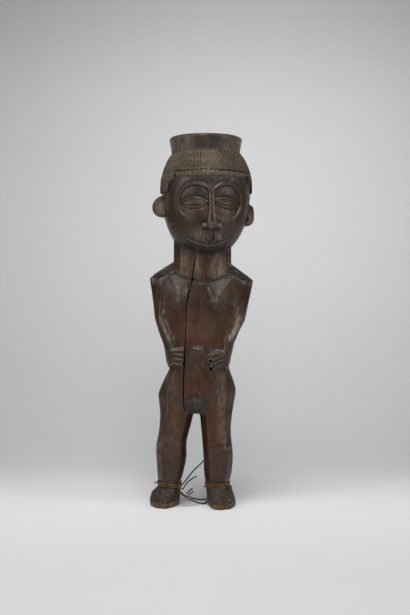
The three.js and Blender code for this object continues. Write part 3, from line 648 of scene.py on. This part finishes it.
def eye_lines(head, side):
    """Lines that ring one eye: along the brow, round the closed lids, and at the outer corner."""
    u, v = head.eye(side)
    radius, angle = np.hypot(u, v), np.degrees(np.arctan2(v, u))
    front = (np.abs(head.azimuth) < 1.35) * (head.behind < 0) * head.outside

    def ring(at, start, end, half_width, depth):
        return groove(radius - at, half_width, depth) * within(angle, start, end, 9)

    cut = ring(15.5, -35, 125, 0.5, 0.25) + ring(13.8, -55, 118, 0.42, 0.5) + ring(12.3, -40, 140, 0.5, 0.2)
    if side > 0:  # the left brow has two lines more
        cut += ring(16.9, 25, 62, 0.4, 0.35) + ring(14.9, 28, 66, 0.35, 0.3)
    along, tilted, high = head.lids(side)
    reach = 1 - rise(np.abs(along), 10, 12.4)
    cut += groove(np.abs(tilted) - high - 0.15, 0.5, 0.4) * reach
    slit = 2.5 - 0.024 * along**2 if side < 0 else 2.1 - 0.02 * along**2
    middle = 1 - rise(np.abs(along), 6.5, 9)
    cut += (groove(tilted - slit, 0.45, 0.45) + groove(tilted - slit + 1.5, 0.3, 0.2)) * middle
    cut += groove(tilted + 0.62 * high, 0.3, 0.2) * reach
    if side > 0:
        fan, slopes, depth = within(along, 6.8, 11.4, 0.5), (-0.5, -0.2, 0.12, 0.4), 0.28
    else:
        fan, slopes, depth = within(along, 3.4, 11, 0.8), (-0.42, -0.22), 0.25
    for slope in slopes:
        cut += groove(tilted - slope * (along - 12.2), 0.28, depth) * fan
    return cut * front


def face_lines(head):
    """The line down the nose, those beside its bell, and the long thin mouth."""
    front = (head.behind < -16) * head.outside
    aside = np.abs(head.across)
    nose = groove(head.across - 0.1, 0.95, 0.7) * within(head.z, 205.5, 228, 1.2)
    nose += groove(aside - head.bell() - 0.4, 0.5, 0.3) * within(head.z, 203.2, 210, 0.8)
    nostrils = -0.35 * (1 - rise(np.hypot((aside - 3.8) / 2.5, (head.z - 201.9) / 0.8), 0.6, 1.2))
    wide = within(head.azimuth, MOUTH_MIDDLE - MOUTH_HALF, MOUTH_MIDDLE + MOUTH_HALF, 0.05)
    above = head.above_mouth()
    part = 1 - within(head.across, -2.6, 3, 0.8)
    mouth = groove(above - 0.5, 0.55, 0.45) * part + groove(above + 2.3, 0.5, 0.2)
    panel_edge = groove(head.across - 3, 0.35, 0.3) * within(head.z, 192.6, 200.4, 0.5)
    return (nose + nostrils + mouth * wide + panel_edge) * front


def face_forms(head):
    """The nose's side faces that open like a bell, and the sunk panel under it."""
    front = (head.behind < -16) * head.outside
    aside = np.abs(head.across)
    bell = head.bell()
    sides = 1.1 * within(head.z, 203.4, 212, 1.2) * (1 - rise(aside, bell - 0.5, bell + 0.3))
    sides *= rise(aside, 0.9, 2.2)
    wings = 0.6 * (1 - rise(np.hypot((aside - 5.1) / 2.1, (head.z - 204.2) / 1.7), 0.5, 1.4))
    panel = within(head.across, -3.3, 2.9, 0.25) * within(head.z, 192.2, 200.6, 0.5)
    return (sides + wings - 0.9 * panel) * front


hair = hair_share(cup)
hem = hair.copy()
for _ in range(5):
    hem = cup.mean_around(hem)
hem = 4 * hem * (1 - hem) * (cup.z < 250)
lines = hatching(cup) * hair + eye_lines(cup, -1) + eye_lines(cup, 1) + face_lines(cup) - 0.4 * hem
forms = face_forms(cup)

# Small forms on the body: the nipples, the navel under its slit, the knees, the collar, the fingers, the
# nicks on the left hand and the strokes across the feet
NIPPLES = [(-17.1, 151.2), (10.5, 150.3)]
KNEES = [[(-31.3, 45.6), (-29, 48), (-24, 49.2), (-18, 47)], [(7.7, 43.8), (16.5, 43.2), (19.5, 44.6)]]
FINGER_GAPS = [
    [(-21.5, 113.3), (-14.2, 112.6)], [(-21.8, 110), (-14.2, 109)], [(-22, 106.8), (-14.6, 105.5)],
    [(15.4, 112.4), (7.2, 109.2)], [(15.4, 108.9), (6.4, 105.5)], [(15, 105.5), (7.4, 102.2)],
]
PALM = [(3.4, 111.5), (6.6, 115.2), (11, 116.4), (15.8, 115.2), (18.2, 111.4)]
NAVEL_SLIT = [(-5, 116.9), (-2.8, 116.3), (-0.4, 116.8)]
for nipple in NIPPLES:
    forms += 0.5 * cup.spot(*nipple, 1.3, 1.2, 0.8)
forms += 0.32 * cup.spot(-3, 114.2, 4.6, 2, 1) - 0.25 * cup.spot(-3, 110.6, 3.4, 2, 0.8)
for route in KNEES:
    forms += 0.4 * (1 - rise(cup.away(route), 0.2, 2.8)) * cup.front
    forms -= 0.35 * (1 - rise(cup.away([(x, z - 3) for x, z in route]), 0.6, 3)) * cup.front
lines += groove(cup.away(NAVEL_SLIT), 0.7, 0.35) * cup.front
lines += groove(cup.away([(x, z + 0.9) for x, z in COLLAR]), 1.2, 0.55) * cup.front * (cup.y < 0)
lines += groove(cup.away(PALM), 0.5, 0.25) * cup.front
for route in FINGER_GAPS:
    lines += groove(cup.away(route), 0.4, 0.2) * cup.front
nicks = parallel(0.85 * cup.x - 0.5 * cup.z + 0.8 * np.sin(cup.z * 1.3), 1.7, 0.4, 0.3)
lines += nicks * 0.7 * cup.spot(11.5, 107.5, 7, 8, 0.3) * rise(np.sin(cup.z * 2.3 + cup.x), -0.3, 0.3)
scratched = cup.front * within(cup.z, 5, 11.5, 1)
slanting = parallel(cup.z + 0.45 * cup.x + 0.5 * np.sin(cup.x * 0.9), 1.6, 0.4, 0.3) * (cup.x < -8)
straight = parallel(cup.z + 0.35 * np.sin(cup.x * 0.8), 1.35, 0.4, 0.3) * (cup.x > 0)
scratches = 1.2 * (slanting + straight) * scratched * rise(np.sin(cup.x * 1.7 + cup.z * 2.1), -0.6, 0.4)
cup.carve(lines + forms + scratches)

# What the years have left on it, with painted highlights, sheen and shade, as shares from 0 to 1 at every
# point.
# The finish below reads them.
# A patch has its middle in front view, its half width and its half height.
FOREHEAD = [
    (-1, 236.4, 2.4, 1.2), (3.8, 238, 2.6, 1.2), (8, 236.6, 2.2, 1.5), (4.6, 235.2, 1.6, 1),
    (17.9, 237.4, 1.8, 1.3),
]
CHIPS = [(8.9, 1.4, 0.9, 1), (20.1, 6.7, 1.2, 0.5), (-36.4, 1.2, 1.1, 0.7), (-22, 2.2, 1, 0.6)]
SHOULDER_CORNERS = [
    (-35.7, 166.8, 1.7, 1.1), (-31.9, 165.2, 1.8, 1.1), (31.4, 164.4, 1.2, 0.9), (35.6, 162.7, 1.6, 1.4),
]
x, y, z = cup.x, cup.y, cup.z
facing_up = cup.facing[:, 2]
face = cup.outside * (1 - hair) * (cup.behind < -6)
mouth_wide = np.abs(cup.azimuth - MOUTH_MIDDLE) < MOUTH_HALF
ears = cup.outside * rise(cup.proud, 2.2, 3.4) * (np.abs(cup.azimuth) > 1.1) * (z < 232) * (z > 201)
ears_inner = 1 - rise(np.abs(x - HEAD_X) - np.where(x < 0, 37, 33.8), 0, 1.6)
loin_half = 7.9 - 0.2 * (z - 79)
loin = within(z, 69.5, 79.5, 1.3) * within(x + 3.9, -loin_half, loin_half, 1) * cup.front
sideburn = cup.outside * within(np.abs(cup.azimuth), 1, 1.5, 0.35) * within(z, 211, 234, 8) * (y < 0)
band = within(z, HAIR_LINE_Z - 4.4, HAIR_LINE_Z - 0.6, 0.4) * (np.abs(cup.across - HAIR_SHIFT) < HAIR_TEMPLE)
in_crack = (cup.away(CRACK) < 0.8) * (y < -5) * (z < 186) * rise(cup.facing[:, 1], -0.9, -0.6)
feet = 1 - rise(z, 15, 18)
strip = 1 - rise(z, 3, 4.6)


def patch(*place):
    """A patch with the softest edge."""
    return cup.spot(*place, 1)


masks = {
    "cut": [
        np.clip(-lines / 0.35, 0, 1),
        0.8 * np.clip(-scratches / 0.3, 0, 1),
        # painted shade on the crack's walls and in the worm holes
        in_crack,
        sum(cup.spot(hole_x, hole_z, 1.1, 1.1, 0.1) for hole_x, hole_z in WORM_HOLES),
        0.8 * within(z, 270.3, 272, 0.3) * (cup.radius > 23.6),  # the lip
        # painted shadow behind the collar's edge, on its upward faces
        0.9 * (1 - rise(cup.away(COLLAR), 1.2, 2.6)) * rise(facing_up, 0.15, 0.4) * (y < 0),
        0.8 * sum(face * cup.spot(*place, 0.8) for place in FOREHEAD),
    ],
    "dust": [
        0.95 * hair,
        0.85 * band * face,
        0.7 * sideburn,
        0.9 * cup.outside * within(z, 255, 260.5, 2),  # where the rim meets the hair
    ],
    "grime_and_shade": [
        1.5 * rise(facing_up, 0.2, 0.45) * within(z, 163, 183, 1),  # the tops of the shoulders
        1.3 * loin,
        0.4 * patch(-20, 108, 8, 9),  # the hands
        0.6 * patch(12, 107, 6, 7),
        0.5 * patch(-26, 29, 9, 12),  # the shins
        0.5 * patch(15, 29, 9, 12),
        0.7 * within(z, 183.2, 185.6, 0.9) * (y < -6),  # painted shade under the jaw
        # painted shade on the chin's underside
        0.6 * rise(-facing_up, 0.3, 0.8) * within(z, 185, 194, 1),
        0.8 * cup.spot(7.1, 268.4, 3.5, 3, 1),  # a stain on the rim
        # darker where the ears face sideways
        ears * rise(np.abs(cup.facing[:, 0]), 0.5, 0.85),
        0.3 * face,
        0.6 * face * patch(-22, 212, 6, 8),  # the right cheek
        face * patch(7, 194, 3.2, 4),  # the sunk panel under the nose
        1.7 * sum(face * patch(*place) for place in FOREHEAD),
    ],
    "red": [
        0.9 * patch(-4, 128, 8, 12),  # the belly
        0.9 * patch(-4, 88, 8, 10),
        0.6 * patch(-24, 140, 3, 14),  # beside the right arm
        0.6 * patch(-21, 68, 6, 24),  # the thighs
        0.7 * patch(10, 60, 6, 24),
        0.5 * patch(-26, 44, 6, 4),  # under the right knee
        0.6 * patch(-26, 28, 8, 12),  # the shins
        0.7 * patch(15, 28, 8, 12),
        0.7 * patch(-17, 176, 4, 9),  # the neck
        0.9 * patch(2.4, 174, 3.5, 8),
        0.9 * patch(18, 176, 4, 9),
        face * patch(-22, 203, 5, 8),  # the cheeks
        face * patch(27, 203, 4, 7),
        0.8 * face * patch(-6, 213.5, 7, 3),  # under the eyes
        0.9 * face * patch(15, 214.5, 6, 4),
        0.95 * face * patch(7, 196, 3.3, 5),  # under the nose
    ],
    "grey_and_sheen": [
        0.9 * patch(-18.5, 162, 7, 9),  # painted sheen on the breasts, and between them
        0.9 * patch(17, 163, 8, 8),
        0.6 * patch(-3, 157, 7, 8),
        0.5 * patch(-3, 114.3, 5, 2),  # painted sheen on the navel, and under it
        0.6 * patch(-3, 109, 6, 6),
        0.6 * patch(-22.5, 91, 4, 9),  # painted sheen on the hips
        0.8 * patch(14, 88, 3.5, 12),
        0.2 * loin,
        0.75 * face * rise(z, 208, 236),
        0.6 * face * (1 - rise(z, 200, 212)),
        0.6 * cup.outside * rise(z, 259, 262),  # the rim
    ],
    "wear_and_highlights": [
        # worn spots at the shoulders' corners, and chips
        sum(cup.spot(*place, 0.8) for place in SHOULDER_CORNERS),
        sum(cup.spot(*chip, 0.5) for chip in CHIPS),
        0.55 * face * patch(1.4, 204.4, 1.7, 1.2),  # painted highlights on the nose's wings and tip
        0.6 * face * patch(12.5, 203.9, 1.9, 1.2),
        0.5 * face * patch(6.8, 203.4, 2, 0.9),
        0.4 * face * within(np.abs(cup.across), 1.4, 1.8, 0.2) * within(z, 207, 226, 2),  # painted highlights on the nose's ridges
        0.55 * face * patch(12.4, 196, 2, 4),  # lighter round the mouth and along its lines
        0.5 * face * patch(-1, 197, 6, 4),
        0.35 * face * within(cup.across, 3, 3.7, 0.3) * within(z, 192.6, 200.4, 0.8),
        0.2 * face * within(cup.above_mouth(), -1.5, -0.4, 0.4) * mouth_wide,
        0.2 * face * patch(19, 207, 5, 7),  # painted sheen on the left cheek
        0.4 * cup.spot(-30, 219, 3, 5, 0.8),  # lighter beside the ears
        0.4 * cup.spot(34, 213, 2.4, 5, 0.8),
        0.12 * hair * (1 - rise(x, -26, -12)),  # lighter on the right side of the hair
        0.4 * cup.outside * within(z, 259, 270, 1.5) * rise(np.abs(x - 4), 8, 18),  # painted highlights on the sides of the rim
        0.5 * patch(-12, 176, 3.5, 8),  # wear and painted light on the neck
        0.55 * patch(-3.2, 176, 2.2, 8),
        0.85 * patch(11.2, 174, 4.5, 8),
        # painted highlights on the nipples
        0.5 * sum(patch(*nipple, 1.3, 1.2) for nipple in NIPPLES),
        0.22 * patch(-17.5, 157, 2, 6),  # painted highlights on the breasts
        0.26 * patch(15, 155, 3, 4),
        0.45 * cup.streak(0.5, (4.6, 150.2), (10, 150.2)),
        0.3 * cup.streak(0.5, (-26.6, 154.2), (-27.6, 144.1), (-26.8, 136.9), (-20.3, 123.1)),  # painted highlights along the arms
        0.25 * cup.streak(0.5, (25.2, 155.7), (23.8, 141.2), (17.7, 129.6)),
        0.5 * cup.streak(1.1, (-30.4, 138), (-26.8, 129.6), (-23.6, 122.6)),
        0.95 * cup.streak(1.7, (27.6, 138), (24, 129.6), (20.7, 123.1)),
        0.7 * patch(-20.8, 115.3, 1.8, 1),  # painted highlights on the wrists
        0.35 * patch(15.7, 113.7, 1.6, 1.4),
        0.12 * cup.streak(5, (-21, 94), (-21.6, 56)),  # painted sheen on the thighs
        0.26 * cup.streak(3, (13.6, 98), (14.6, 50)),
        0.34 * cup.streak(1.1, (-31, 45.8), (-29, 48.2)),  # painted highlights on the knees
        0.3 * patch(-24.5, 50, 5, 1.6),
        0.34 * patch(-18, 47, 1, 2),
        0.35 * patch(15.6, 43.6, 1.6, 0.8),
        0.4 * cup.streak(0.7, (16.6, 43.4), (16.7, 52)),
    ],
    "crust": [0.8 * feet * (1 - strip)],
    "bare": [feet * strip * (y < 4) * (1 - 0.2 * (x > 0)), 0.9 * ears * ears_inner],
}
for name, shares in masks.items():
    layer = block.data.attributes.new(name, "FLOAT", "POINT")
    layer.data.foreach_set("value", np.clip(sum(shares), 0, 1).astype(np.float32))

# Fewer faces, and fewest where the wood is plain. A point's weight says how freely the faces round it may go.
TRIANGLES = 192_000
SPARE = 0.002  # how much the length of an edge counts beside the shape that it would lose
plain = 0.75 + 0.1 * ~cup.front + 0.05 * cup.inside - 0.25 * np.maximum(hair, face * (z > 186)) * cup.front
plain -= 0.25 * np.clip(-lines / 0.2, 0, 1) * cup.front
group = block.vertex_groups.new(name="plain")
steps = np.round(plain * 20).astype(int)
for step in np.unique(steps):
    group.add(np.flatnonzero(steps == step).tolist(), step / 20, "REPLACE")
thin = block.modifiers.new("fewer faces", "DECIMATE")
thin.ratio = TRIANGLES / sum(len(polygon.vertices) - 2 for polygon in block.data.polygons)
thin.vertex_group = "plain"
thin.vertex_group_factor = SPARE
settle(block)
bm = bmesh.new()
bm.from_mesh(block.data)
figure = finished("carved_figure", bm)
bpy.data.objects.remove(block)

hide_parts("carved_cup_figure")
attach(figure, "root")

# The wood's finish: a dark handled patina with the grain in it, pale dust in the hair, dirt in the cuts, and
# bare worn wood at the edges of the feet. Painted shade lies in the corners, the crack and under the jaw,
# and painted highlights and sheen on the forms that face the lights.
handled, tree, surface = new_finish("handled_wood")


def mask(name):
    return node(tree, "ShaderNodeAttribute", {}, attribute_name=name).outputs["Fac"]


def share(name, size, breakup, low=0.3, high=0.7):
    """One of the masks above, with its edge broken up by a noise."""
    broken = combined(tree, combined(tree, speckle(tree, size, 3), 0.5, "SUBTRACT"), breakup, "MULTIPLY")
    return ranged(tree, combined(tree, mask(name), broken), low, high)


def streaked_patch(name, most, stretch=(1, 1, 4)):
    """One of the masks above as a soft patch, streaked along the grain and strongest at its middle."""
    streaked = ranged(tree, speckle(tree, 2.2, 4, stretch), 0.32, 0.66, 0.25, 1)
    return combined(tree, combined(tree, mask(name), most, "MULTIPLY"), streaked, "MULTIPLY")


def closeness(reach, **where):
    """1 in the open, and less in a corner that is about reach millimetres wide, or inside an edge."""
    settings = {"samples": 6, "only_local": True, **where}
    return node(tree, "ShaderNodeAmbientOcclusion", {"Distance": reach * MM}, **settings).outputs["AO"]


fibres = speckle(tree, 0.4, 4, (1, 1, 18))
bands = speckle(tree, 2.6, 4, (1, 1, 8))
clouds = speckle(tree, 11, 4, (1, 1, 1.6))
mottle = speckle(tree, 1.5, 5, (1, 1, 1.5))


def mottled(first, second):
    """The colour that changes from the first to the second with the mottle."""
    return mixed(tree, ranged(tree, mottle, 0.35, 0.65), linear(first), linear(second))


grime_and_shade = streaked_patch("grime_and_shade", 1, (1, 1, 1.5))
crust = share("crust", 2, 0.6)
bare = share("bare", 2, 0.7)
dusty = share("dust", 3, 0.6, 0.3, 0.8)
cut_dirt_and_shade = ranged(tree, share("cut", 0.6, 0.2, 0.15, 0.9), 0, 1, 0, 0.85)
worn_edges = ranged(tree, closeness(1.1, inside=True), 0.95, 0.65)
# painted shade: darker in corners about 3 mm across
corners = ranged(tree, closeness(3), 0.85, 0.3)
colour = mixed(tree, ranged(tree, clouds, 0.36, 0.62), linear("#24150c"), linear("#3b2617"))
for amount, above in (
    (ranged(tree, bands, 0.45, 0.7, 0, 0.6), linear("#4b301e")),  # paler bands along the log
    (streaked_patch("red", 0.85), linear("#522a14")),
    # greyer tone on the face and the rim, and painted sheen on the body
    (streaked_patch("grey_and_sheen", 0.8), linear("#3f3834")),
    (ranged(tree, fibres, 0.5, 0.72, 0, 0.55), linear("#180e09")),  # the pores of the wood
    (ranged(tree, mottle, 0.52, 0.7, 0, 0.6), linear("#1d130c")),  # dark blots, then pale specks
    (ranged(tree, mottle, 0.46, 0.3, 0, 0.22), linear("#6d5844")),
    # grime, and painted shade under the jaw and the chin
    (grime_and_shade, linear("#1e1813")),
    (crust, mottled("#3d3228", "#241b15")),  # earth on the feet
    (bare, mottled("#67482f", "#432d1d")),  # bare wood at the soles and the ears
    (ranged(tree, dusty, 0, 1, 0, 0.8), mottled("#594d3b", "#443a2c")),
    (ranged(tree, worn_edges, 0, 1, 0, 0.35), linear("#6b5644")),
    # worn spots, and painted highlights and sheen
    (streaked_patch("wear_and_highlights", 0.9, (1, 1, 2)), linear("#8e8070")),
    # painted shade in the corners
    (ranged(tree, corners, 0, 1, 0, 0.75), linear("#150d08")),
    # dirt in the cuts, and painted shade in the crack, the worm holes and behind the collar
    (cut_dirt_and_shade, linear("#150e09")),
):
    colour = mixed(tree, amount, colour, above)
feed(tree, surface.inputs["Base Color"], colour)
earthy = dusty
for dull in (crust, bare, grime_and_shade):
    earthy = combined(tree, earthy, dull, "MAXIMUM")
roughness = combined(tree, ranged(tree, mottle, 0.3, 0.7, 0.25, 0.43), ranged(tree, earthy, 0, 1, 0, 0.42))
feed(tree, surface.inputs["Roughness"], roughness)
surface.inputs["Specular IOR Level"].default_value = 0.42
feed(tree, surface.inputs["Normal"], bumped(tree, fibres, 0.12, 0.5))
figure.data.materials.clear()
figure.data.materials.append(handled)

# The studio: a sheet of pale paper that curves up behind the figure. A wide soft light hangs above, smaller
# ones stand in front and at each side, and the last one is aimed at the paper behind.
FLOOR_FRONT, FLOOR_BACK, SWEEP, WALL_TOP, FLOOR_HALF = -1200, 160, 220, 1500, 1500
SWEEP_STEPS = 12

bm = bmesh.new()
profile = [Vector((-FLOOR_HALF, FLOOR_FRONT, 0)), Vector((-FLOOR_HALF, FLOOR_BACK, 0))]
for i in range(1, SWEEP_STEPS + 1):
    angle = math.radians(90 * i / SWEEP_STEPS)
    profile.append(Vector((-FLOOR_HALF, FLOOR_BACK + SWEEP * math.sin(angle), SWEEP * (1 - math.cos(angle)))))
profile.append(Vector((-FLOOR_HALF, FLOOR_BACK + SWEEP, WALL_TOP)))
verts = [bm.verts.new(place) for place in profile]
edges = [bm.edges.new(pair) for pair in zip(verts, verts[1:])]
extruded = bmesh.ops.extrude_edge_only(bm, edges=edges)["geom"]
moved = [g for g in extruded if isinstance(g, bmesh.types.BMVert)]
bmesh.ops.translate(bm, vec=(2 * FLOOR_HALF, 0, 0), verts=moved)
sweep = finished("studio_sweep", bm)
paper, tree, surface = new_finish("studio_paper")
# The paper's colour holds painted light and shade: palest round the feet and up the wall.
place = node(tree, "ShaderNodeSeparateXYZ", {0: node(tree, "ShaderNodeTexCoord", {}).outputs["Object"]})
shade = ranged(tree, place.outputs["Y"], 0.06, 0.26, 1, 0)  # painted shade: greyer from behind the figure to the fold
for axis, low, high, at_low, at_high in (
    ("Y", -0.22, 0.02, -0.7, 0),  # painted shade toward the camera
    ("Z", 0.04, 0.26, 0, 0.55),  # painted light up the wall
    ("Z", 0.36, 0.5, 0, -0.3),  # painted shade again at the top
):
    shade = combined(tree, shade, ranged(tree, place.outputs[axis], low, high, at_low, at_high))
feed(tree, surface.inputs["Base Color"], mixed(tree, shade, linear("#c8c8c9"), linear("#e4e4e5")))
surface.inputs["Roughness"].default_value = 0.9
sweep.data.materials.append(paper)


def soft_light(name, place, size, watts, spread, at=(0, 0, 140)):
    light = bpy.data.objects.new(name, bpy.data.lights.new(name, "AREA"))
    light.data.shape = "DISK"
    light.data.size = size * MM
    light.data.energy = watts
    light.data.spread = math.radians(spread)
    light.location = Vector(place) * MM
    light.rotation_euler = (Vector(at) - Vector(place)).to_track_quat("-Z", "Y").to_euler()
    bpy.context.scene.collection.objects.link(light)


soft_light("overhead", (-40, -420, 900), 520, 2.1, 100, at=(0, -80, 0))
soft_light("front", (60, -900, 560), 420, 0.45, 100)
soft_light("left", (-700, -520, 420), 420, 0.95, 120)
soft_light("right", (720, -460, 400), 420, 0.85, 120)
soft_light("backdrop", (60, -380, 560), 200, 0.145, 50, at=(70, 380, 260))

world = bpy.data.worlds.new("studio_air")
bpy.context.scene.world = world
world.use_nodes = True
world.node_tree.nodes["Background"].inputs["Color"].default_value = (0.8, 0.8, 0.82, 1)
world.node_tree.nodes["Background"].inputs["Strength"].default_value = 0.06
bpy.context.scene.view_settings.view_transform = "Standard"
